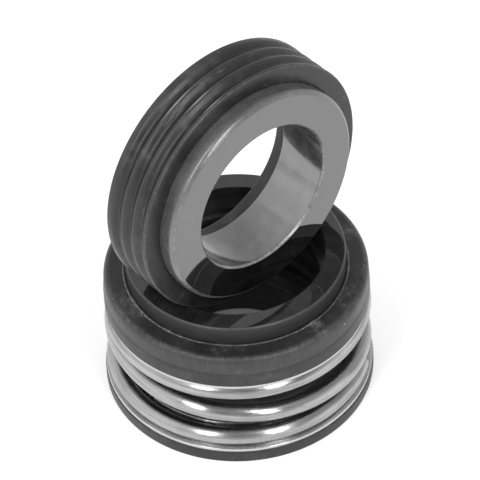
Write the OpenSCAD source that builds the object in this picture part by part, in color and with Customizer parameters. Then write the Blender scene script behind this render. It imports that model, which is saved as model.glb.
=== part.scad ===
// Mechanical shaft seal of the rubber bellows kind, in millimetres.
// The rotating head stands on its tail with its polished ring upwards.
// The fixed seat stands on edge across it, settled in the bore of that ring.

/* [Shaft] */
// Diameter of the shaft that the rubber tail grips
shaft_d = 19; // [17:0.5:20.5]

/* [Tail of the bellows] */
// How far the foot flange stands out beyond the head, each side
tail_over = 0.4; // [0.3:0.05:1.5]
// Thickness of the foot flange
tail_flange_t = 1.8; // [1.4:0.1:3]
// Length of shaft that the tail grips
tail_grip = 5.2; // [4:0.1:6.5]
// Rounding of the foot flange's outer edges
tail_edge = 0.3; // [0.1:0.05:0.5]

/* [Head of the bellows] */
// Thickness of the rubber round the ring
holder_wall = 2.9; // [2.4:0.1:4]
// Height of the head's side, from its collar to its top
head_h = 4.55; // [4.2:0.05:6]
// Height of the plain band at the foot of the head's side
head_band_h = 1.85; // [1:0.05:2.2]
// How far the side above the band draws in
head_draw = 0.15; // [0:0.05:0.4]
// Rounding of the head's top corner
head_corner = 0.9; // [0.4:0.05:1.1]
// Width of the ledge that the ring sits on, inside the ring's bore
ledge_w = 0.7; // [0.4:0.05:1]

/* [Bellows wall] */
// Thickness of the folding wall
wall_t = 1.1; // [0.8:0.05:1.3]
// Depth of the fold in the wall
fold_depth = 1.4; // [0.8:0.05:1.6]

/* [Polished ring of the head] */
// Gap between the ring's bore and the shaft
ring_clear = 1.65; // [1.2:0.05:2.1]
// Width of the ring from its bore to its rim
ring_wall = 2.55; // [2.1:0.05:3]
// Height of the ring
ring_h = 4.3; // [3.8:0.1:4.8]
// How far the ring stands out of the rubber
ring_proud = 2.55; // [1.8:0.05:2.9]
// Bevel of the ring's outer edge
ring_bevel = 0.2; // [0.1:0.05:0.4]

/* [Coil spring] */
// How far the coil stands out beyond the head, each side
coil_over = 0.15; // [-0.2:0.05:0.2]
// Diameter of the wire
wire_d = 2.24; // [1.9:0.02:2.4]
// Length of the spring between its collars
spring_len = 10.5; // [9.8:0.1:12.5]
// Turns at each end that lie flat
flat_turns = 0.5; // [0.3:0.05:0.6]
// Turns that rise between the flat ones
rising_turns = 1.5; // [1.3:0.05:1.8]
// Share of a turn by which each wire end stops short
end_trim = 0.04; // [0.03:0.01:0.1]

/* [Spring collars] */
// Thickness of the collars' sheet steel
collar_t = 0.45; // [0.3:0.05:0.6]
// Length of a collar's sleeve inside the coil
collar_sleeve = 2.1; // [1.5:0.1:2.8]
// How far a collar's rim lies inside the rubber's edge
collar_inset = 0.1; // [0.05:0.01:0.3]

/* [Seat ring] */
// Gap between the fixed ring's bore and the shaft
seat_clear = 0.2; // [0.15:0.05:1]
// Width of the fixed ring from its bore to its rim
seat_wall = 4.65; // [3.8:0.05:5.2]
// Length of the fixed ring
seat_ring_len = 7.35; // [6.2:0.05:8]
// How far the fixed ring stands out of its cup
seat_proud = 2.3; // [1.6:0.05:2.8]
// Height of the outer bevel at the polished face
seat_bevel_h = 0.4; // [0.2:0.05:0.6]
// Width of the outer bevel on the polished face
seat_bevel_w = 0.5; // [0.2:0.05:0.7]
// Bevel of the bore at the polished face
seat_bore_bevel = 0.25; // [0.1:0.05:0.4]

/* [Seat cup] */
// Thickness of the rubber round the fixed ring, at a rib
cup_wall = 2.35; // [1.8:0.05:3.2]
// Thickness of the cup's back wall
cup_back_t = 2; // [1.4:0.1:3]
// How far the back wall's lip lies outside the ring's bore
lip_step = 0.6; // [0.2:0.05:0.8]
// Plain band behind the last rib
back_band = 0.55; // [0.3:0.05:1]
// Grooves between the ribs
rib_grooves = 3; // [2:1:3]
// Depth of the grooves
rib_depth = 0.55; // [0.3:0.05:0.8]
// Rounding of the cup's front and back edges
cup_edge = 0.25; // [0.1:0.05:0.3]

/* [Seat standing on the head] */
// Turn of the seat about the head's axis, in degrees
seat_turn = 39.7; // [0:0.1:90]
// How far the seat has slid towards its polished face, which tilts that face up
seat_slide = 0.25; // [0:0.05:0.4]
// Gap left where the cup's edges meet the ring's bore
rest_gap = 0.03; // [0.02:0.01:0.1]

/* [Fits] */
// Gap between rubber and the metal or ring it holds
rubber_gap = 0.05; // [0.02:0.01:0.08]
// Gap between the coil and the collars' sleeves
coil_gap = 0.12; // [0.08:0.01:0.2]
// Gap between the coil's ends and the collars' flanges
coil_end_gap = 0.03; // [0.02:0.01:0.05]

/* [Hidden] */
$fn = 128;

// Diameters of the head, from the shaft outwards
ring_bore_d = shaft_d + 2 * ring_clear;
ring_d = ring_bore_d + 2 * ring_wall;
head_d = ring_d + 2 * holder_wall;
tail_d = head_d + 2 * tail_over;
spring_d = head_d + 2 * coil_over;

// Diameters of the seat, from the shaft outwards
seat_bore_d = shaft_d + 2 * seat_clear;
seat_ring_d = seat_bore_d + 2 * seat_wall;
cup_d = seat_ring_d + 2 * (rubber_gap + cup_wall);

// Radii inside the coil
coil_r = (spring_d - wire_d) / 2;
sleeve_r = spring_d / 2 - wire_d - coil_gap;
sleeve_bore_r = sleeve_r - collar_t;
neck_r = sleeve_bore_r - rubber_gap;
wall_step = 0.45;
wall_r = neck_r - wall_step - wall_t / 2 - fold_depth / 2;
pocket_r = ring_d / 2 + rubber_gap;
ledge_r = ring_bore_d / 2 - ledge_w;

// Levels of the head, from the floor upwards
drive_z = tail_flange_t;
coil_foot_z = drive_z + collar_t;
coil_top_z = coil_foot_z + spring_len;
head_z = coil_top_z + collar_t;
head_top_z = head_z + head_h;
face_z = head_top_z + ring_proud;
ring_foot_z = face_z - ring_h;
grip_shoulder = 0.6;
wall_foot_z = tail_grip + grip_shoulder;
ledge_t = 1.2;
ledge_under_z = ring_foot_z - ledge_t;

// Line of the coil
coil_turns = 2 * flat_turns + rising_turns;
wire_low_z = coil_foot_z + coil_end_gap + wire_d / 2;
wire_high_z = coil_top_z - coil_end_gap - wire_d / 2;
steps_per_turn = 48;
wire_sides = 14;

// Length and outline of the seat, measured from the front face of its cup
cup_len = seat_ring_len - seat_proud + cup_back_t;
rib_pitch = (cup_len - 2 * cup_edge - back_band) / rib_grooves;
points_per_groove = 12;

// The cup rests on its front rib and on its back band, so far from the head's axis
rest_half = (cup_len - 2 * cup_edge) / 2;
rest_front = rest_half + seat_slide;
rest_back = rest_half - seat_slide;
seat_tilt = atan((rest_rise(rest_front) - rest_rise(rest_back)) / (2 * rest_half));

// Rise of a round of the cup's size above the bore's edge that it rests on, this far off the axis
function rest_rise(off) = sqrt(pow(cup_d / 2, 2) - pow(ring_bore_d / 2, 2) + pow(off, 2));

// Points of an arc about [x, y] from angle a to angle b
function arc(x, y, r, a, b, n = 8) =
    [for (i = [0:n]) [x + r * cos(a + (b - a) * i / n), y + r * sin(a + (b - a) * i / n)]];

// Smooth step from 0 to 1
function ease(t) = let (u = min(1, max(0, t))) u * u * (3 - 2 * u);

// Middle radius of the folding wall, which is waisted halfway up
function wall_mid(t) = wall_r + fold_depth / 2 * cos(360 * t);

function wall_side(offset, n = 24) =
    [for (i = [0:n]) [wall_mid(i / n) + offset, wall_foot_z + (head_z - wall_foot_z) * i / n]];

function reversed(list) = [for (i = [len(list) - 1:-1:0]) list[i]];

// Height of the wire's middle after u turns: flat, rising, flat
function wire_z(u) = wire_low_z + (wire_high_z - wire_low_z) * ease((u - flat_turns) / rising_turns);

// Radius of the cup at a distance s behind its front face, within the ribs
function rib_r(s) = cup_d / 2 - rib_depth / 2 * (1 - cos(360 * (s - cup_edge) / rib_pitch));

// Rubber bellows: foot flange, shaft grip, folding wall and ring holder, moulded as one
module bellows() {
    foot = concat(
        arc(tail_d / 2 - tail_edge, tail_edge, tail_edge, -90, 0),
        arc(tail_d / 2 - tail_edge, tail_flange_t - tail_edge, tail_edge, 0, 90),
        [[neck_r, tail_flange_t], [neck_r, tail_grip]]);
    corner_x = head_d / 2 - head_draw - head_corner;
    holder = concat(
        [[head_d / 2, head_z], [head_d / 2, head_z + head_band_h]],
        arc(corner_x, head_top_z - head_corner, head_corner, 0, 90),
        [[pocket_r, head_top_z], [pocket_r, ring_foot_z], [ledge_r, ring_foot_z], [ledge_r, ledge_under_z]]);
    outer = wall_side(wall_t / 2);
    inner = reversed(wall_side(-wall_t / 2));
    color("#3d3d3d")
        rotate_extrude()
            polygon(concat(foot, outer, holder, inner, [[shaft_d / 2, tail_grip], [shaft_d / 2, 0]]));
}

// Stamped collar: a flat flange under the coil and a sleeve inside it, bent from one sheet
module collar(rim_d) {
    bend = collar_t;
    color("#c9c9c9")
        rotate_extrude()
            polygon(concat(
                arc(sleeve_bore_r + bend, bend, bend, 180, 270),
                [[rim_d / 2, 0], [rim_d / 2, collar_t], [sleeve_r, collar_t],
                 [sleeve_r, collar_sleeve + collar_t], [sleeve_bore_r, collar_sleeve + collar_t]]));
}

module drive_collar() {
    translate([0, 0, drive_z])
        collar(tail_d - 2 * collar_inset);
}

module head_collar() {
    translate([0, 0, head_z])
        mirror([0, 0, 1])
            collar(head_d - 2 * collar_inset);
}

// Coil spring of round wire, wound left-handed, with a flat closed turn at each end
module spring() {
    first = end_trim;
    last = coil_turns - end_trim;
    n = ceil((last - first) * steps_per_turn);
    rings = [for (i = [0:n])
        let (u = first + (last - first) * i / n, a = -360 * u)
            for (k = [0:wire_sides - 1])
                let (b = 360 * k / wire_sides, r = coil_r + wire_d / 2 * cos(b))
                    [r * cos(a), r * sin(a), wire_z(u) + wire_d / 2 * sin(b)]];
    sides = [for (i = [0:n - 1], k = [0:wire_sides - 1])
        let (j = (k + 1) % wire_sides, p = i * wire_sides, q = p + wire_sides)
            [p + k, q + k, q + j, p + j]];
    start_cap = [[for (k = [0:wire_sides - 1]) k]];
    end_cap = [[for (k = [wire_sides - 1:-1:0]) n * wire_sides + k]];
    color("#d8d8d8")
        polyhedron(rings, concat(sides, start_cap, end_cap), convexity = 6);
}

// Rotating ring: lapped face above, bevelled rim, plain bore
module face_ring() {
    r = ring_d / 2;
    bore_r = ring_bore_d / 2;
    color("#2b2b2b")
        rotate_extrude()
            polygon([[bore_r, ring_foot_z], [r, ring_foot_z], [r, face_z - ring_bevel],
                     [r - ring_bevel, face_z], [bore_r, face_z]]);
}

// Stands the seat on edge: its own +Z, out of the polished face, turns almost to the horizontal
module stood_on_head() {
    rise = rest_rise(rest_front);
    rotate([0, 0, seat_turn])
        translate([0, rise * sin(seat_tilt) - rest_front, face_z + rest_gap + rise])
            rotate([90 - seat_tilt, 0, 0])
                translate([0, 0, cup_edge])
                    children();
}

// Fixed ring, drawn with the front face of its cup at z = 0
module seat_ring() {
    r = seat_ring_d / 2;
    bore_r = seat_bore_d / 2;
    face = seat_proud;
    back = face - seat_ring_len;
    color("#9a9a9a")
        stood_on_head()
            rotate_extrude()
                polygon([[bore_r, back], [r, back], [r, face - seat_bevel_h],
                         [r - seat_bevel_w, face], [bore_r + seat_bore_bevel, face],
                         [bore_r, face - seat_bore_bevel]]);
}

// Rubber cup round the fixed ring: ribbed outside, with a back wall that ends in a lip
module seat_cup() {
    r = cup_d / 2;
    hold_r = seat_ring_d / 2 + rubber_gap;
    lip_r = seat_bore_d / 2 + lip_step;
    ring_back = seat_proud - seat_ring_len;
    ribs = [for (i = [1:rib_grooves * points_per_groove])
        let (s = cup_edge + rib_pitch * i / points_per_groove)
            [rib_r(s), -s]];
    color("#383838")
        stood_on_head()
            rotate_extrude()
                polygon(concat(
                    [[hold_r, 0]],
                    arc(r - cup_edge, -cup_edge, cup_edge, 90, 0),
                    ribs,
                    arc(r - cup_edge, cup_edge - cup_len, cup_edge, 0, -90),
                    arc(lip_r + cup_edge, cup_edge - cup_len, cup_edge, -90, -180),
                    [[lip_r, ring_back], [hold_r, ring_back]]));
}

bellows();
drive_collar();
spring();
head_collar();
face_ring();
seat_ring();
seat_cup();
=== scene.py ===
import math

import bpy
import numpy as np
from mathutils import Matrix, Vector


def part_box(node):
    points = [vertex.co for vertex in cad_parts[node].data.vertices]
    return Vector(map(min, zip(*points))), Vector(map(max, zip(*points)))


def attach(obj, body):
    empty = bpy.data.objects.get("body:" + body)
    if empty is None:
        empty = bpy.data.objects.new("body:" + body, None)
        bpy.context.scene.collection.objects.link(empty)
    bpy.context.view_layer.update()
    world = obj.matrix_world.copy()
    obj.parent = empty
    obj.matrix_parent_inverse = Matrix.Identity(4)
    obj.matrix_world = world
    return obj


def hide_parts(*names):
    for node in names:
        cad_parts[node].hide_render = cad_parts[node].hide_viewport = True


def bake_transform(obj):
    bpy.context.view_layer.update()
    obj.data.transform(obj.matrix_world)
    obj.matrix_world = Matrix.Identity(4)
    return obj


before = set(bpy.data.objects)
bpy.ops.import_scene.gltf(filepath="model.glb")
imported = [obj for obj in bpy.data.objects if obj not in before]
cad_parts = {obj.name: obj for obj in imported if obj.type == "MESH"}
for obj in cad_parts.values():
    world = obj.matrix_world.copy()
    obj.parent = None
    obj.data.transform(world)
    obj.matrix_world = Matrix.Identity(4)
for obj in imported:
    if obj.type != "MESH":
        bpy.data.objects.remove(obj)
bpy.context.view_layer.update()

# Bellows. One moulding of black nitrile rubber, pressed on the shaft: a foot
# flange, the tail that grips, a thin folding wall, and the head that holds the
# polished ring. The wall shortens as the head slides down against the spring.
MM = 0.001


def extent(node):
    """The lowest and the highest corner of a piece of the frame, in millimetres."""
    return [np.array(corner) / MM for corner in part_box(node)]


foot_collar_low, foot_collar_high = extent("drive_collar")
ring_low, ring_high = extent("face_ring")
head_collar_high = extent("head_collar")[1]
bellows_high = extent("bellows")[1]

SHAFT_R = 9.5
FOOT_R = bellows_high[0]
FOOT_H = foot_collar_low[2]
NECK_R = 13.89
GRIP_TOP = 5.2

WALL_FOOT = GRIP_TOP + 0.6
WALL_T = 1.1
WALL_STEP = 0.45
FOLD = 0.7
WALL_R = NECK_R - WALL_STEP - WALL_T / 2 - FOLD

HEAD_FOOT = head_collar_high[2]
HEAD_R = FOOT_R - 0.4
HEAD_TOP = bellows_high[2]
BAND_TOP = HEAD_FOOT + 1.85
BAND_SLOPE = 0.3
SIDE_R = HEAD_R - 0.15
SIDE_LEAN = 0.08
HOLD_R = SIDE_R - 2.4
HOLD_LIP = 0.09
LIP_LEAN = 0.12
POCKET_R = ring_high[0] + 0.05
RING_FOOT = ring_low[2]
LEDGE_R = SHAFT_R + 0.95
LEDGE_FOOT = RING_FOOT - 1.2

# Where the profile closes, on the flat sole, and the corners at which the two
# sides of the folding wall meet the tail and the head.
SOLE = ((SHAFT_R + FOOT_R) / 2, 0, 0)
OVER_GRIP = (13.0, WALL_FOOT - 0.1, 0)
UNDER_HEAD = (13.6, HEAD_FOOT, 0)
UNDER_LEDGE = (11.9, LEDGE_FOOT - 0.2, 0)
INSIDE_GRIP = (11.6, WALL_FOOT - 0.2, 0)


def corners(*rows):
    """A profile with its corners rounded off.

    Each row is (radius, height, cut). The corner point P between its
    neighbours gives way to the curve (1-s)^2 A + 2 s (1-s) P + s^2 C, where A
    and C lie the cut away from P towards the two neighbours. The first and the
    last point stay as they are.
    """
    rows = np.array(rows, float)
    point, cut = rows[:, :2], rows[:, 2:]
    before = point[:-2] - point[1:-1]
    after = point[2:] - point[1:-1]
    a = point[1:-1] + before / np.linalg.norm(before, axis=1)[:, None] * cut[1:-1]
    c = point[1:-1] + after / np.linalg.norm(after, axis=1)[:, None] * cut[1:-1]
    s = np.linspace(0, 1, 7)[None, :, None]
    curve = (1 - s) ** 2 * a[:, None] + 2 * s * (1 - s) * point[1:-1, None] + s**2 * c[:, None]
    return np.vstack([point[:1], curve.reshape(-1, 2), point[-1:]])


def without_doubles(profile):
    """The profile less every point that lies on the one before it."""
    step = np.linalg.norm(profile - np.roll(profile, 1, axis=0), axis=1)
    return profile[step > 1e-5]


def grid_mesh(name, points, close_rows, close_columns, own=None, place=None):
    """A mesh of quads over a grid of points (rows, columns, 3) in metres.

    Quad (i, j) joins i, i+1 and j, j+1, wrapping round where a side is closed.
    The signed volume, a sixth of the sum of a . (b x c) over the faces' first
    three corners, tells which way they point, and they are turned outwards.
    own, a grid of points too, says where each lies on the piece before it is
    stood in its place. place, (rows, columns + 1, 2), becomes the UV map: its
    last column is the first one again, a whole way round.
    """
    rows, columns = points.shape[:2]
    down, across = np.arange(rows - (not close_rows)), np.arange(columns - (not close_columns))
    i, j = np.meshgrid(down, across, indexing="ij")
    i2, j2 = (i + 1) % rows, (j + 1) % columns
    corner = [i * columns + j, i2 * columns + j, i2 * columns + j2, i * columns + j2]
    quads = np.stack(corner, axis=-1).reshape(-1, 4)
    flat = points.reshape(-1, 3)
    a, b, c = flat[quads[:, 0]], flat[quads[:, 1]], flat[quads[:, 2]]
    inside_out = np.einsum("ij,ij->i", a, np.cross(b, c)).sum() < 0
    order = (3, 2, 1, 0) if inside_out else (0, 1, 2, 3)
    mesh = bpy.data.meshes.new(name)
    mesh.from_pydata(flat, [], quads[:, order])
    if own is not None:
        data = mesh.attributes.new("own_place", "FLOAT_VECTOR", "POINT").data
        data.foreach_set("vector", own.astype(np.float32).ravel())
    if place is not None:
        spread = np.stack([place[i, j], place[i2, j], place[i2, j + 1], place[i, j + 1]], axis=2)
        data = mesh.uv_layers.new(name="place").data
        data.foreach_set("uv", spread.reshape(-1, 4, 2)[:, order].astype(np.float32).ravel())
    mesh.shade_smooth()
    made = bpy.data.objects.new(name, mesh)
    bpy.context.scene.collection.objects.link(made)
    return made


def turned(name, profile, stand=None, around=288):
    """A closed profile (radius, height) in mm, turned about the axis.

    The point at angle a is (r cos a, r sin a, h). stand, if given, carries the
    points from the piece's own axes to where it stands.
    """
    profile = without_doubles(profile)
    a = np.linspace(0, 2 * math.pi, around, endpoint=False)[:, None]
    r, h = profile[None, :, 0], profile[None, :, 1]
    own = np.stack([r * np.cos(a), r * np.sin(a), h + 0 * a], axis=-1)
    points = own if stand is None else stand(own)
    return grid_mesh(name, points * MM, True, True, own * MM)


def sharpened(piece, degrees=34):
    """Keeps edges that turn by more than this angle crisp."""
    piece.data.set_sharp_from_angle(angle=math.radians(degrees))
    return piece


def wall(offset, steps=40):
    """The folding wall: its middle radius is WALL_R + FOLD cos(2 pi t) at height t."""
    t = np.linspace(0, 1, steps)
    middle = WALL_R + FOLD * np.cos(2 * math.pi * t)
    return np.stack([middle + offset, WALL_FOOT + (HEAD_FOOT - WALL_FOOT) * t], axis=1)


bellows_profile = np.vstack([
    corners(SOLE, (FOOT_R, 0, 0.3), (FOOT_R, FOOT_H, 0.3), (NECK_R, FOOT_H, 0.1),
            (NECK_R, GRIP_TOP, 0.15), OVER_GRIP),
    wall(WALL_T / 2),
    corners(UNDER_HEAD, (HEAD_R, HEAD_FOOT, 0.1), (HEAD_R, BAND_TOP, 0.12),
            (SIDE_R + SIDE_LEAN, BAND_TOP + BAND_SLOPE, 0.14), (SIDE_R, HEAD_TOP, 0.95),
            (HOLD_R, HEAD_TOP, 0.07), (HOLD_R - LIP_LEAN, HEAD_TOP + HOLD_LIP, 0.06),
            (POCKET_R, HEAD_TOP + HOLD_LIP, 0.05), (POCKET_R, RING_FOOT, 0.1),
            (LEDGE_R, RING_FOOT, 0.15), (LEDGE_R, LEDGE_FOOT, 0.15), UNDER_LEDGE),
    wall(-WALL_T / 2)[::-1],
    corners(INSIDE_GRIP, (SHAFT_R, GRIP_TOP, 0.2), (SHAFT_R, 0, 0.3), SOLE),
])
bellows = sharpened(turned("bellows_moulding", bellows_profile))


class Nodes:
    """The nodes of one material or group, made and joined in few words."""

    def __init__(self, tree):
        self.tree = tree

    def make(self, kind, inputs=None, **settings):
        """A node of this kind. An input is a value, or the output socket that feeds it."""
        node = self.tree.nodes.new(kind)
        for key, value in settings.items():
            setattr(node, key, value)
        for key, value in (inputs or {}).items():
            if isinstance(value, bpy.types.NodeSocket):
                self.tree.links.new(value, node.inputs[key])
            else:
                node.inputs[key].default_value = value
        return node

    def use(self, effect_name, **inputs):
        """One of the shared effects, placed here with its own values: its outputs."""
        return self.make("ShaderNodeGroup", inputs, node_tree=bpy.data.node_groups[effect_name]).outputs

    def math(self, operation, a, b=0.5, clamp=False):
        """One sum, product or other operation on a, or on a and b."""
        return self.make("ShaderNodeMath", {0: a, 1: b}, operation=operation, use_clamp=clamp).outputs[0]

    def total(self, *shares):
        """The sum of value x share over pairs (value, share)."""
        value = self.math("MULTIPLY", *shares[0])
        for part, share in shares[1:]:
            joined = self.make("ShaderNodeMath", {0: part, 1: share, 2: value}, operation="MULTIPLY_ADD")
            value = joined.outputs[0]
        return value

    def ramp(self, value, low, high, out_low=0.0, out_high=1.0):
        """value from low..high carried smoothly to out_low..out_high."""
        return self.make("ShaderNodeMapRange", {0: value, 1: low, 2: high, 3: out_low, 4: out_high},
                         interpolation_type="SMOOTHSTEP").outputs[0]

    def noise(self, vector, per_metre, detail=3.0, roughness=0.55):
        """Noise over a place in metres, with about so many features to a metre."""
        return self.make("ShaderNodeTexNoise", {"Vector": vector, "Scale": per_metre, "Detail": detail,
                                                "Roughness": roughness}).outputs["Fac"]

    def noise_4d(self, vector, fourth):
        """Noise over a place and one more measure, a unit to a feature."""
        inputs = {"Vector": vector, "W": fourth, "Scale": 1.0, "Detail": 3.0, "Roughness": 0.6}
        return self.make("ShaderNodeTexNoise", inputs, noise_dimensions="4D").outputs["Fac"]

    def over(self, factor, below, above):
        """A colour changed to another where the factor says so; a plain number stands for a grey."""
        grey = [(value,) * 3 + (1,) if isinstance(value, float) else value for value in (below, above)]
        return self.make("ShaderNodeMix", {0: factor, 6: grey[0], 7: grey[1]}, data_type="RGBA").outputs[2]

    def feed(self, shader, height, strength, distance, **colours):
        """Joins colour and roughness to the shader, and the height to it through a bump."""
        bump = self.make("ShaderNodeBump", {"Strength": strength, "Distance": distance, "Height": height})
        self.tree.links.new(bump.outputs[0], shader.inputs["Normal"])
        for key, socket in colours.items():
            self.tree.links.new(socket, shader.inputs[key.replace("_", " ")])


def effect(name, takes, gives):
    """A node group with these inputs and outputs.

    The results are its nodes, its input sockets and a way to give what it works out.
    """
    tree = bpy.data.node_groups.new(name, "ShaderNodeTree")
    for key in takes:
        kind = "NodeSocketVector" if key == "Place" else "NodeSocketFloat"
        tree.interface.new_socket(key, in_out="INPUT", socket_type=kind)
    for key in gives:
        tree.interface.new_socket(key, in_out="OUTPUT", socket_type="NodeSocketFloat")
    nodes = Nodes(tree)
    wanted = nodes.make("NodeGroupOutput").inputs

    def give(**results):
        for key, socket in results.items():
            tree.links.new(socket, wanted[key])

    return nodes, nodes.make("NodeGroupInput").outputs, give


def about_axis(n, place):
    """(x/r, y/r, 0), r and z of a point: where it lies round the axis, with no seam."""
    part = n.make("ShaderNodeSeparateXYZ", {0: place}).outputs
    flat = n.make("ShaderNodeCombineXYZ", {0: part[0], 1: part[1]}).outputs[0]
    way = n.make("ShaderNodeVectorMath", {0: flat}, operation="NORMALIZE").outputs[0]
    radius = n.make("ShaderNodeVectorMath", {0: flat}, operation="LENGTH").outputs["Value"]
    return way, radius, part[2]


def off_edge(n, radius, height, given):
    """How far a point lies from the circle: the length of (radius - Radius, height - Height)."""
    gap = n.make("ShaderNodeCombineXYZ", {0: n.math("SUBTRACT", radius, given["Radius"]),
                                          1: n.math("SUBTRACT", height, given["Height"])}).outputs[0]
    return n.make("ShaderNodeVectorMath", {0: gap}, operation="LENGTH").outputs["Value"]


# Dust: small pale specks. A lattice has Cells to a metre, and Share of them
# hold a speck.
nodes, given, give = effect("dust_specks", ("Place", "Cells", "Share", "Size"), ("Mask",))
cell = nodes.make("ShaderNodeTexVoronoi", {"Vector": given["Place"], "Scale": given["Cells"]})
pick = nodes.make("ShaderNodeSeparateColor", {"Color": cell.outputs["Color"]}).outputs
reach = nodes.math("MULTIPLY", pick[1], given["Size"])
spot = nodes.ramp(cell.outputs["Distance"], reach, nodes.math("MULTIPLY", reach, 0.4))
give(Mask=nodes.math("MULTIPLY", spot, nodes.math("LESS_THAN", pick[0], given["Share"])))

# Moulded skin: the fine grain and the broad and middling mottling of a rubber
# or fired part.
nodes, given, give = effect("moulded_skin", ("Place", "Grain", "Mottle"), ("Height", "Tone"))
grain = nodes.noise(given["Place"], given["Grain"], detail=4.0, roughness=0.6)
broad = nodes.noise(given["Place"], given["Mottle"], detail=5.0, roughness=0.62)
finer = nodes.math("MULTIPLY", given["Mottle"], 5.0)
cloud = nodes.noise(given["Place"], finer, detail=4.0, roughness=0.6)
give(Height=nodes.total((grain, 0.55), (cloud, 0.45)), Tone=nodes.total((broad, 0.55), (cloud, 0.45)))

# Lines that a tool, a mould or a finger leaves round the axis: about Sweep of
# them to a radian, and Fine of them to a metre across.
nodes, given, give = effect("turning_lines", ("Place", "Fine", "Sweep"), ("Lines",))
way, radius, height = about_axis(nodes, given["Place"])
climb = nodes.make("ShaderNodeCombineXYZ", {2: nodes.math("MULTIPLY", height, given["Fine"])}).outputs[0]
along = nodes.make("ShaderNodeVectorMath", {0: way, "Scale": given["Sweep"]}, operation="SCALE").outputs[0]
spread = nodes.make("ShaderNodeVectorMath", {0: along, 1: climb}, operation="ADD").outputs[0]
give(Lines=nodes.noise_4d(spread, nodes.math("MULTIPLY", radius, given["Fine"])))

# Lines that run up the side and in across the top: about Count of them to a
# radian, which change slowly along their length.
FLOW_CHANGE = 260.0
nodes, given, give = effect("flow_lines", ("Place", "Count"), ("Lines",))
way, radius, height = about_axis(nodes, given["Place"])
spread = nodes.make("ShaderNodeVectorMath", {0: way, "Scale": given["Count"]}, operation="SCALE").outputs[0]
give(Lines=nodes.noise_4d(spread, nodes.total((height, FLOW_CHANGE), (radius, FLOW_CHANGE))))

# Pale broken line along an edge that runs round the axis at Radius and Height,
# reaching Width to each side: wear, and on some edges partly a painted highlight.
nodes, given, give = effect("edge_wear_and_highlight", ("Place", "Radius", "Height", "Width"), ("Mask",))
radius, height = about_axis(nodes, given["Place"])[1:]
near = nodes.ramp(off_edge(nodes, radius, height, given), given["Width"], 0.0)
broken = nodes.ramp(nodes.noise(given["Place"], per_metre=2200.0, detail=5.0, roughness=0.75), 0.36, 0.64)
patchy = nodes.ramp(nodes.noise(given["Place"], per_metre=150.0, detail=2.0), 0.35, 0.6, out_low=0.3)
give(Mask=nodes.math("MULTIPLY", nodes.math("MULTIPLY", near, broken), patchy))

# A painted highlight: a thin pale line round the axis at Radius and Height, about
# Turn radians from X and as long as Spread says, pointed at both ends.
HIGHLIGHT_LINE_REACH = 0.22 * MM
nodes, given, give = effect("painted_highlight_line", ("Place", "Radius", "Height", "Turn", "Spread"), ("Mask",))
way, radius, height = about_axis(nodes, given["Place"])
toward = nodes.make("ShaderNodeCombineXYZ", {0: nodes.math("COSINE", given["Turn"], 0.0),
                                             1: nodes.math("SINE", given["Turn"], 0.0)}).outputs[0]
apart = nodes.make("ShaderNodeVectorMath", {0: way, 1: toward}, operation="DISTANCE").outputs["Value"]
length = nodes.ramp(apart, given["Spread"], 0.0)
reach = nodes.math("MULTIPLY", length, HIGHLIGHT_LINE_REACH)
line = nodes.ramp(off_edge(nodes, radius, height, given), reach, 0.0)
give(Mask=nodes.math("MULTIPLY", line, length))


def own_place(n):
    """Where a point lies on its piece, before the piece is stood in its place."""
    return n.make("ShaderNodeAttribute", attribute_name="own_place").outputs["Vector"]


def wear_and_sheen_of_edges(n, place, edges):
    """The pale lines of several edges (radius, height, width, share), the first three in mm, added up: wear,
    and on some partly a painted highlight.
    """
    shares = []
    for r, h, w, share in edges:
        mask = n.use("edge_wear_and_highlight", Place=place, Radius=r * MM, Height=h * MM, Width=w * MM)["Mask"]
        shares.append((mask, share))
    return n.total(*shares)


def principled(name, **constants):
    """A new material: itself, its nodes, and its shader with these constants set."""
    material = bpy.data.materials.new(name)
    material.use_nodes = True
    shader = material.node_tree.nodes["Principled BSDF"]
    for key, value in constants.items():
        shader.inputs[key.replace("_", " ")].default_value = value
    return material, Nodes(material.node_tree), shader


FILM_GREY = 0.15
SCUFF_GREY = 0.13
EDGE_WEAR_AND_HIGHLIGHT_GREY = 0.40
MARK_AND_PAINTED_LIGHT_GREY = 0.24
SPECK_GREY = 0.30


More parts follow.
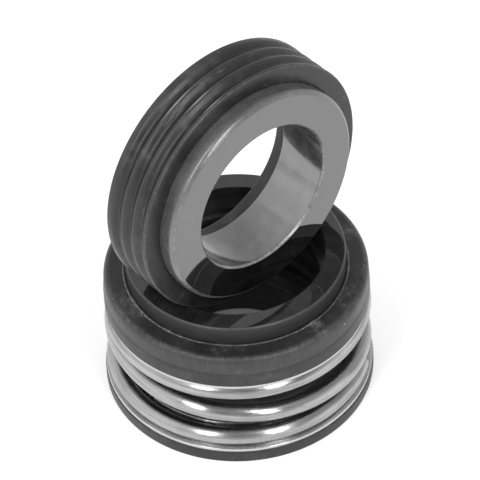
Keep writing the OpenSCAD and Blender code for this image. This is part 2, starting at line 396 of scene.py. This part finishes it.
def rubber(name, dark, pale, roughness, dust, edges, marks):
    """Black rubber: mottled, filmed with dust in places, finely scuffed round the axis.

    More dust, up to the share dust, lies on what faces up. The edges are
    made pale in broken lines: wear, and on some partly a painted highlight.
    marks(n, place) is a mask of further marks, partly painted light.
    """
    material, n, shader = principled(name)
    place = own_place(n)
    skin = n.use("moulded_skin", Place=place, Grain=5200.0, Mottle=150.0)
    flow = n.use("flow_lines", Place=place, Count=55.0)["Lines"]
    turning = n.use("turning_lines", Place=place, Fine=3600.0, Sweep=7.0)["Lines"]
    tone = n.total((skin["Tone"], 0.56), (flow, 0.26), (turning, 0.18))
    settled = n.ramp(n.noise(place, per_metre=230.0, detail=6.0, roughness=0.7), 0.48, 0.72)
    normal = n.make("ShaderNodeNewGeometry").outputs["Normal"]
    upward = n.make("ShaderNodeSeparateXYZ", {0: normal}).outputs[2]
    lying = n.ramp(upward, 0.6, 1.0, out_low=0.3, out_high=dust)
    film = n.math("MULTIPLY", settled, n.ramp(skin["Height"], 0.4, 0.6))
    rubbed = n.ramp(n.noise(place, per_metre=300.0), 0.50, 0.64)
    scuff = n.math("MULTIPLY", n.ramp(turning, 0.58, 0.70), rubbed)
    colour = n.over(n.ramp(tone, 0.40, 0.60), dark, pale)
    colour = n.over(n.math("MULTIPLY", film, lying), colour, FILM_GREY)
    colour = n.over(n.math("MULTIPLY", scuff, 0.7), colour, SCUFF_GREY)
    colour = n.over(n.math("MULTIPLY", wear_and_sheen_of_edges(n, place, edges), 1.0, clamp=True), colour, EDGE_WEAR_AND_HIGHLIGHT_GREY)
    # Further pale marks: mould lines with a painted sheen on the head's side, painted light on the cup's
    # ribs.
    colour = n.over(marks(n, place), colour, MARK_AND_PAINTED_LIGHT_GREY)
    specks = n.use("dust_specks", Place=place, Cells=700.0, Share=0.10, Size=0.15)["Mask"]
    colour = n.over(specks, colour, SPECK_GREY)
    gloss = n.ramp(tone, 0.38, 0.62, roughness - 0.07, roughness + 0.08)
    n.feed(shader, skin["Height"], 0.4, 0.02 * MM, Base_Color=colour, Roughness=gloss)
    return material


def mould_lines_and_painted_sheen(n, place):
    """Lines up the head's side above its band, partly left by the mould and partly a painted sheen, the whole
    side paler than the band below.
    """
    height = n.make("ShaderNodeSeparateXYZ", {0: place}).outputs[2]
    side = n.math("MULTIPLY", n.ramp(height, (BAND_TOP + 0.05) * MM, (BAND_TOP + 0.5) * MM),
                  n.ramp(height, (HEAD_TOP - 0.05) * MM, (HEAD_TOP - 0.5) * MM))
    lines = n.use("flow_lines", Place=place, Count=48.0)["Lines"]
    return n.math("MULTIPLY", side, n.ramp(lines, 0.36, 0.70, out_low=0.07, out_high=0.13))


# The lip round the ring and the rounded top corner are made pale partly as wear and partly as a painted
# highlight; the foot's outer edge is wear.
bellows_edges = (
    (HOLD_R, HEAD_TOP + HOLD_LIP, 0.14, 1.0),
    (SIDE_R - 0.4, HEAD_TOP - 0.2, 0.5, 0.16),
    (FOOT_R, FOOT_H, 0.12, 0.6))
bellows.data.materials.append(rubber(
    "bellows_rubber", dark=0.010, pale=0.021, roughness=0.43, dust=1.0,
    edges=bellows_edges, marks=mould_lines_and_painted_sheen))
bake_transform(bellows)
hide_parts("bellows")

# Spring collars. Two rings stamped from stainless sheet, a flange bent into a
# sleeve: one under the coil on the foot, one over it under the head. The
# sleeves centre the coil, and the rims show as thin bright lines.
SHEET = 0.45
SLEEVE_BORE_R = NECK_R + 0.05
SLEEVE_R = SLEEVE_BORE_R + SHEET
SLEEVE_TOP = foot_collar_high[2] - foot_collar_low[2]


def loop(*rows):
    """A closed profile with all its corners rounded off, from the middle of its last side round to there."""
    middle = [(last + first) / 2 for last, first in zip(rows[-1][:2], rows[0][:2])]
    return corners((*middle, 0), *rows, (*middle, 0))


def collar(name, rim, level, up):
    """A collar turned from the sheet's section: the sleeve, the bend, and the flange out to the rim.

    The section's heights times up (1, or -1 for a sleeve that points down),
    plus level, are the collar's.
    """
    profile = loop(
        (SLEEVE_BORE_R, 0, SHEET), (SLEEVE_BORE_R, SLEEVE_TOP, 0.08), (SLEEVE_R, SLEEVE_TOP, 0.08),
        (SLEEVE_R, SHEET, 0.05), (rim, SHEET, 0.09), (rim, 0, 0.09))
    return sharpened(turned(name, profile * (1, up) + (0, level)))


def bare_steel(name, lines, stain, dark, pale, roughness, depth):
    """Bare steel: the lines left by its making, and faint stains, change its tone and gloss a little."""
    material, n, shader = principled(name, Metallic=1.0, Anisotropic=0.75, Anisotropic_Rotation=0.25)
    line = lines(n)
    own = n.make("ShaderNodeTexCoord").outputs["Object"]
    blot = n.noise(own, per_metre=stain, detail=4.0, roughness=0.6)
    tone = n.total((line, 0.78), (blot, 0.22))
    colour = n.over(n.ramp(tone, 0.38, 0.60), dark, pale)
    gloss = n.total((n.ramp(line, 0.35, 0.65, roughness - 0.05, roughness + 0.05), 0.6),
                    (n.ramp(blot, 0.35, 0.65, roughness - 0.04, roughness + 0.06), 0.4))
    n.feed(shader, line, 0.5, depth, Base_Color=colour, Roughness=gloss)
    return material


def sheet_lines(n):
    """Fine lines round the stamped rim."""
    return n.use("turning_lines", Place=own_place(n), Fine=9000.0, Sweep=5.0)["Lines"]


foot_collar = collar("foot_spring_collar", foot_collar_high[0], FOOT_H, 1)
head_collar = collar("head_spring_collar", head_collar_high[0], HEAD_FOOT, -1)
sheet_steel = bare_steel("stamped_sheet_steel", sheet_lines, stain=300.0, dark=0.50, pale=0.66,
                         roughness=0.24, depth=0.006 * MM)
for piece, body, node in ((foot_collar, "foot", "drive_collar"), (head_collar, "head", "head_collar")):
    piece.data.materials.append(sheet_steel)
    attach(piece, body)
    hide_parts(node)

# Spring. One length of round stainless wire, wound left-handed: half a turn
# lies flat at each end, and one and a half turns rise between them. It is
# pressed between the two collars.
WIRE_R = 1.12
COIL_R = SLEEVE_R + 0.12 + WIRE_R
END_GAP = 0.03
WIRE_LOW = FOOT_H + SHEET + END_GAP + WIRE_R
WIRE_HIGH = HEAD_FOOT - SHEET - END_GAP - WIRE_R
FLAT_TURNS = 0.5
RISING_TURNS = 1.5
END_TRIM = 0.04


def wire_height(u):
    """Height of the wire's middle after u turns: flat, rising as t^2 (3 - 2t), flat."""
    t = np.clip((u - FLAT_TURNS) / RISING_TURNS, 0, 1)
    return WIRE_LOW + (WIRE_HIGH - WIRE_LOW) * t * t * (3 - 2 * t)


def coil(steps=720, sides=40):
    """The wire's tube: a circle of radius WIRE_R carried round the axis.

    Its middle is at (R cos a, R sin a, h(u)) with a = -2 pi u, and each circle
    lies in the plane through the axis. At each end the last circles shrink to
    a point, over a small rounded shoulder, so that the cut end is closed. The
    second result is the way along the wire and the way round it.
    """
    shoulder = np.array([0, 0, 0, 0.0004])
    size = np.array([1e-4, 0.5, 0.9, 0.97])
    u = np.linspace(END_TRIM, 2 * FLAT_TURNS + RISING_TURNS - END_TRIM, steps)
    u = np.concatenate([u[0] + shoulder, u[1:-1], u[-1] - shoulder[::-1]])[:, None]
    size = np.concatenate([size, np.ones(steps - 2), size[::-1]])[:, None]
    b = np.linspace(0, 2 * math.pi, sides + 1)[None, :]
    a = -2 * math.pi * u
    r = COIL_R - WIRE_R * size * np.cos(b)
    h = wire_height(u) + WIRE_R * size * np.sin(b)
    points = np.stack([r * np.cos(a), r * np.sin(a), h], axis=-1)
    place = np.stack([2 * math.pi * COIL_R * u + 0 * b, WIRE_R * b + 0 * a], axis=-1)
    return points[:, :-1] * MM, place * MM


def drawn_lines(n):
    """Long fine lines along the wire, as the die leaves them, with fainter broad ones under them."""
    place = n.make("ShaderNodeUVMap", uv_map="place").outputs[0]
    layers = []
    for along, across in ((130.0, 6500.0), (70.0, 1900.0)):
        run = n.make("ShaderNodeVectorMath", {0: place, 1: (along, across, 1.0)}, operation="MULTIPLY")
        layers.append(n.noise(run.outputs[0], 1.0, 3.0, 0.6))
    return n.total((layers[0], 0.6), (layers[1], 0.4))


points, place = coil()
spring = sharpened(grid_mesh("coil_spring", points, False, True, place=place), degrees=50)
spring.data.materials.append(bare_steel(
    "drawn_spring_wire", drawn_lines, stain=240.0, dark=0.28, pale=0.47, roughness=0.24, depth=0.01 * MM))
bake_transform(spring)
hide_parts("spring")

# Rotating ring. A hard dark carbide ring, ground outside, honed in its bore and
# lapped to a mirror on top, with its outer edge broken by a narrow bevel. It is
# pressed into the pocket of the rubber head.
RING_R = ring_high[0]
RING_BORE_R = SHAFT_R + 1.65
RING_TOP = ring_high[2]
RING_BEVEL = 0.2


def finish(ring, face, bore, ground, lapped, honed):
    """Gives a ring its three materials.

    The lapped one is for its face at the height face, the honed one for its
    bore of the radius bore, and the ground one for the rest. Both sizes are
    in mm, on the ring before it is stood in its place.
    """
    for material in (ground, lapped, honed):
        ring.data.materials.append(material)
    own = np.zeros(len(ring.data.vertices) * 3, np.float32)
    ring.data.attributes["own_place"].data.foreach_get("vector", own)
    corner = np.zeros(len(ring.data.loops), np.int32)
    ring.data.loops.foreach_get("vertex_index", corner)
    middle = own.reshape(-1, 3)[corner].reshape(-1, 4, 3).mean(axis=1) / MM
    radius, height = np.hypot(middle[:, 0], middle[:, 1]), middle[:, 2]
    number = np.select([height > face - 0.001, radius < bore + 0.01], [1, 2], 0)
    ring.data.polygons.foreach_set("material_index", number.astype(np.int32))
    ring.data.update()


def ground_carbide(name, tone, ior, roughness, edges):
    """A ground hard surface: fine lines round the axis, clouded a little, with pale chips along its edges, on
    the rotating ring's top edge partly a painted highlight.
    """
    material, n, shader = principled(name, IOR=ior)
    place = own_place(n)
    skin = n.use("moulded_skin", Place=place, Grain=5200.0, Mottle=190.0)
    turning = n.use("turning_lines", Place=place, Fine=5200.0, Sweep=6.0)["Lines"]
    cloud = n.total((skin["Tone"], 0.6), (turning, 0.4))
    chips_and_highlight = n.math("MULTIPLY", wear_and_sheen_of_edges(n, place, edges), 0.9, clamp=True)
    specks = n.use("dust_specks", Place=place, Cells=600.0, Share=0.06, Size=0.14)["Mask"]
    colour = n.over(n.ramp(cloud, 0.38, 0.62), tone * 0.78, tone * 1.22)
    colour = n.over(specks, n.over(chips_and_highlight, colour, tone * 2.4 + 0.12), SPECK_GREY)
    gloss = n.ramp(cloud, 0.35, 0.65, roughness * 0.85, roughness * 1.15)
    height = n.total((turning, 0.6), (skin["Height"], 0.4))
    n.feed(shader, height, 0.3, 0.003 * MM, Base_Color=colour, Roughness=gloss)
    return material


def smooth_carbide(name, tone, ior, roughness):
    """A lapped face or a honed bore: a mirror, with a breath of haze and a few specks of dust."""
    material, n, shader = principled(name, IOR=ior)
    place = own_place(n)
    skin = n.use("moulded_skin", Place=place, Grain=3000.0, Mottle=120.0)
    specks = n.use("dust_specks", Place=place, Cells=450.0, Share=0.05, Size=0.12)["Mask"]
    colour = n.over(n.ramp(skin["Tone"], 0.36, 0.64), tone * 0.6, tone * 1.5)
    colour = n.over(specks, colour, 0.22)
    gloss = n.ramp(skin["Tone"], 0.4, 0.7, roughness * 0.7, roughness * 1.6)
    n.feed(shader, skin["Height"], 0.15, 0.0002 * MM, Base_Color=colour, Roughness=gloss)
    return material


ring_profile = loop(
    (RING_R, RING_FOOT, 0.1), (RING_R, RING_TOP - RING_BEVEL, 0.05), (RING_R - RING_BEVEL, RING_TOP, 0.03),
    (RING_BORE_R, RING_TOP, 0.05), (RING_BORE_R, RING_FOOT, 0.1))
# The rotating ring's outer top edge is made pale, partly as chips and partly as a painted highlight.
ring_edges = ((RING_R, RING_TOP, 0.22, 1.0),)
rotating_ring = sharpened(turned("rotating_ring", ring_profile), degrees=20)
finish(rotating_ring, RING_TOP, RING_BORE_R,
       ground_carbide("ring_ground_side", tone=0.024, ior=1.5, roughness=0.40, edges=ring_edges),
       smooth_carbide("ring_lapped_face", tone=0.014, ior=1.85, roughness=0.03),
       smooth_carbide("ring_honed_bore", tone=0.032, ior=1.9, roughness=0.15))
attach(rotating_ring, "head")
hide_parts("face_ring")

# Fixed ring. Grey silicon carbide: ground rim and bevels, a honed bore, and a
# wide face lapped to a mirror. It stands on edge across the head: its cup has
# settled in the bore of the rotating ring, tipped up a little.
SEAT_BORE_R = SHAFT_R + 0.2
SEAT_R = SEAT_BORE_R + 4.65
SEAT_FACE = 2.3
SEAT_BACK = SEAT_FACE - 7.35
SEAT_BEVEL = 0.5
SEAT_BEVEL_H = 0.4
SEAT_BORE_BEVEL = 0.25

CUP_R = SEAT_R + 2.4
CUP_LENGTH = 2.0 - SEAT_BACK
CUP_EDGE = 0.25
SEAT_TURN = math.radians(39.7)
SEAT_SLIDE = 0.25
REST_GAP = 0.03
REST_HALF = CUP_LENGTH / 2 - CUP_EDGE


def rise(off):
    """Height of the cup's axis over the bore's edge that it rests on, this far off the head's axis.

    Both are rounds, so the height is the root of CUP_R^2 - RING_BORE_R^2 + off^2.
    """
    return math.sqrt(CUP_R**2 - RING_BORE_R**2 + off**2)


FRONT_RISE = rise(REST_HALF + SEAT_SLIDE)
SEAT_TILT = math.atan((FRONT_RISE - rise(REST_HALF - SEAT_SLIDE)) / (2 * REST_HALF))


def stood(points):
    """Carries (x, y, z) of the seat, z out of its face, to where it stands.

    The seat is tipped up by SEAT_TILT, set on the ring's bore and turned by
    SEAT_TURN about the head's axis.
    """
    across, high, out = points[..., 0], points[..., 1], points[..., 2] + CUP_EDGE
    c, s = math.cos(SEAT_TILT), math.sin(SEAT_TILT)
    back = high * s - out * c + FRONT_RISE * s - REST_HALF - SEAT_SLIDE
    level = high * c + out * s + RING_TOP + REST_GAP + FRONT_RISE
    c, s = math.cos(SEAT_TURN), math.sin(SEAT_TURN)
    return np.stack([across * c - back * s, across * s + back * c, level], axis=-1)


seat_profile = loop(
    (SEAT_R, SEAT_BACK, 0.2), (SEAT_R, SEAT_FACE - SEAT_BEVEL_H, 0.36),
    (SEAT_R - SEAT_BEVEL, SEAT_FACE, 0.05), (SEAT_BORE_R + SEAT_BORE_BEVEL, SEAT_FACE, 0.04),
    (SEAT_BORE_R, SEAT_FACE - SEAT_BORE_BEVEL, 0.08), (SEAT_BORE_R, SEAT_BACK, 0.1))
seat_edges = (
    (SEAT_R - SEAT_BEVEL / 2, SEAT_FACE - SEAT_BEVEL_H / 2, 0.45, 0.35),
    (SEAT_BORE_R + SEAT_BORE_BEVEL / 2, SEAT_FACE - SEAT_BORE_BEVEL / 2, 0.4, 1.0))
fixed_ring = sharpened(turned("fixed_ring", seat_profile, stood), degrees=20)
finish(fixed_ring, SEAT_FACE, SEAT_BORE_R,
       ground_carbide("seat_ground_side", tone=0.075, ior=2.0, roughness=0.28, edges=seat_edges),
       smooth_carbide("seat_lapped_face", tone=0.008, ior=2.48, roughness=0.03),
       smooth_carbide("seat_honed_bore", tone=0.070, ior=2.55, roughness=0.13))
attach(fixed_ring, "head")
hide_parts("seat_ring")

# Seat cup. Black rubber moulded round the fixed ring: three grooves between
# rounded ribs outside, and a back wall that ends in a lip round the bore.
CUP_HOLD_R = SEAT_R + 0.05
LIP_R = SEAT_BORE_R + 0.6
GROOVES = 3
BACK_BAND = 0.55
RIB_PITCH = (CUP_LENGTH - 2 * CUP_EDGE - BACK_BAND) / GROOVES
RIB_DEPTH = 0.55

# The profile's first and last point, both on the cup's flat front.
FRONT_OUT = (15.5, 0, 0)
FRONT_IN = (15.3, 0, 0)


def ribs(steps=60):
    """The grooves as waves: the radius is CUP_R - half the depth times (1 - cos), one wave to a pitch."""
    s = np.linspace(0, GROOVES * RIB_PITCH, steps)
    r = CUP_R - RIB_DEPTH / 2 * (1 - np.cos(2 * math.pi * s / RIB_PITCH))
    return np.stack([r, -CUP_EDGE - s], axis=1)


cup_profile = np.vstack([
    corners(FRONT_OUT, (CUP_R, 0, CUP_EDGE), (CUP_R, -CUP_EDGE, 0)),
    ribs(),
    corners((CUP_R, BACK_BAND - CUP_LENGTH, 0), (CUP_R, -CUP_LENGTH, 0.3), (LIP_R, -CUP_LENGTH, 0.3),
            (LIP_R, SEAT_BACK, 0.08), (CUP_HOLD_R, SEAT_BACK, 0.1), (CUP_HOLD_R, 0, 0.08), FRONT_IN),
])
seat_cup = sharpened(turned("seat_cup_moulding", cup_profile, stood))


def painted_rib_light(n, place):
    """The ribs' crests painted a little pale, a painted light that leaves the grooves in painted shade, with
    three short painted highlights near their top.
    """
    radius = about_axis(n, place)[1]
    # Pale crests: painted light on the ribs, leaving the grooves as painted shade.
    crests = n.ramp(radius, (CUP_R - 0.45) * MM, (CUP_R - 0.05) * MM)
    shares = [(crests, 0.05)]
    # Three short painted highlights on the ribs near their top, drawn as thin pale lines.
    for back, turn, spread in ((0.4, 1.86, 0.17), (2.3, 1.90, 0.22), (4.3, 2.0, 0.30)):
        where = {"Place": place, "Radius": CUP_R * MM, "Height": -back * MM, "Turn": turn, "Spread": spread}
        shares.append((n.use("painted_highlight_line", **where)["Mask"], 1.0))
    return n.math("MULTIPLY", n.total(*shares), 1.0, clamp=True)


cup_edges = ((CUP_R - 0.1, -0.05, 0.15, 0.25),)
seat_cup.data.materials.append(rubber(
    "cup_rubber", dark=0.008, pale=0.018, roughness=0.35, dust=0.3, edges=cup_edges, marks=painted_rib_light))
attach(seat_cup, "head")
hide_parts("seat_cup")

# Studio. A plain pale floor, a pale surround that is dimmer overhead and in
# front and brighter at the left, a large soft panel on each side and two soft
# boxes in front; the camera stands where the photo's stood.
FLOOR_REACH = 6.0
GLOW = 0.37
GLOW_STARTS = 15.5 * MM
GLOW_FULL = 16.8 * MM
x, y = np.meshgrid([-FLOOR_REACH, FLOOR_REACH], [-FLOOR_REACH, FLOOR_REACH], indexing="ij")
floor = grid_mesh("floor", np.stack([x, y, 0 * x], axis=-1), False, False)
paper = bpy.data.materials.new("pale_paper")
paper.use_nodes = True
n = Nodes(paper.node_tree)
n.tree.nodes.clear()
seen = n.make("ShaderNodeLightPath")
shown = n.math("MAXIMUM", seen.outputs["Is Camera Ray"],
               n.math("MAXIMUM", seen.outputs["Is Glossy Ray"], seen.outputs["Is Transmission Ray"]))
away = n.make("ShaderNodeVectorMath", {0: n.make("ShaderNodeTexCoord").outputs["Object"]}, operation="LENGTH")
open_floor = n.ramp(away.outputs["Value"], GLOW_STARTS, GLOW_FULL)
matt = n.make("ShaderNodeBsdfDiffuse", {"Color": (0.8, 0.8, 0.8, 1)})
white = n.math("MULTIPLY", n.math("MULTIPLY", shown, open_floor), GLOW)
glow = n.make("ShaderNodeEmission", {"Strength": white})
both = n.make("ShaderNodeAddShader", {0: matt.outputs[0], 1: glow.outputs[0]})
n.make("ShaderNodeOutputMaterial", {"Surface": both.outputs[0]})
floor.data.materials.append(paper)

world = bpy.data.worlds.new("surround")
world.use_nodes = True
bpy.context.scene.world = world
n = Nodes(world.node_tree)
n.tree.nodes.clear()
way = n.make("ShaderNodeSeparateXYZ", {0: n.make("ShaderNodeTexCoord").outputs["Generated"]}).outputs
height = n.ramp(way["Z"], 0.0, 0.6, out_low=0.80, out_high=0.58)
left = n.ramp(way["X"], 0.0, -0.6, out_high=0.30)
front = n.ramp(way["Y"], -0.2, -0.7, out_high=-0.22)
strength = n.total((height, 1.0), (left, 1.0), (front, 1.0))
background = n.make("ShaderNodeBackground", {"Color": (1, 1, 1, 1), "Strength": strength})
n.make("ShaderNodeOutputWorld", {"Surface": background.outputs[0]})

AIM_HEIGHT = 0.02


def panel(name, toward, upward, distance, width, height, radiance):
    """A flat soft light in that direction from AIM_HEIGHT over the origin, and turned to that point.

    Its height runs along upward. Its power is radiance times pi times its area.
    """
    toward = Vector(toward).normalized()
    aside = Vector(upward).cross(toward).normalized()
    lamp = bpy.data.lights.new(name, "AREA")
    lamp.shape = "RECTANGLE"
    lamp.size, lamp.size_y = width, height
    lamp.energy = radiance * math.pi * width * height
    stand = bpy.data.objects.new(name, lamp)
    turn = Matrix((aside, toward.cross(aside), toward)).transposed()
    place = toward * distance + Vector((0, 0, AIM_HEIGHT))
    stand.matrix_world = Matrix.Translation(place) @ turn.to_4x4()
    stand.visible_camera = False
    bpy.context.scene.collection.objects.link(stand)


panel("left_panel", (-0.85, -0.20, 0.50), (0, 0, 1),
      distance=0.6, width=0.60, height=0.50, radiance=0.28)
panel("right_panel", (0.92, -0.30, 0.22), (0, 0, 1),
      distance=0.6, width=0.50, height=0.30, radiance=0.5)
panel("left_front_box", (-0.38, -0.61, 0.69), (0.23, 0.67, 0.71),
      distance=0.5, width=0.09, height=0.38, radiance=7.2)
panel("right_front_box", (0.36, -0.62, 0.69), (-0.23, 0.67, 0.71),
      distance=0.5, width=0.09, height=0.38, radiance=9.4)

CAMERA_ELEVATION = math.radians(44.56)
CAMERA_ROLL = math.radians(2.41)
CAMERA_DISTANCE = 446.03
CAMERA_RAISE = 15.612
CAMERA_LENS = 262.5
lens = bpy.data.cameras.new("photo_lens")
lens.sensor_width = 36
lens.lens = CAMERA_LENS
lens.clip_start, lens.clip_end = 0.01, 20
level = np.array([1, 0, 0])
ahead = np.array([0, math.cos(CAMERA_ELEVATION), -math.sin(CAMERA_ELEVATION)])
upright = np.array([0, math.sin(CAMERA_ELEVATION), math.cos(CAMERA_ELEVATION)])
right = math.cos(CAMERA_ROLL) * level - math.sin(CAMERA_ROLL) * upright
up = math.sin(CAMERA_ROLL) * level + math.cos(CAMERA_ROLL) * upright
spot = (CAMERA_RAISE * up - CAMERA_DISTANCE * ahead) * MM
camera = bpy.data.objects.new("photo_camera", lens)
camera.matrix_world = Matrix(np.vstack([np.column_stack([right, up, -ahead, spot]), [0, 0, 0, 1]]))
bpy.context.scene.collection.objects.link(camera)
bpy.context.scene.camera = camera
bpy.context.scene.view_settings.view_transform = "Standard"
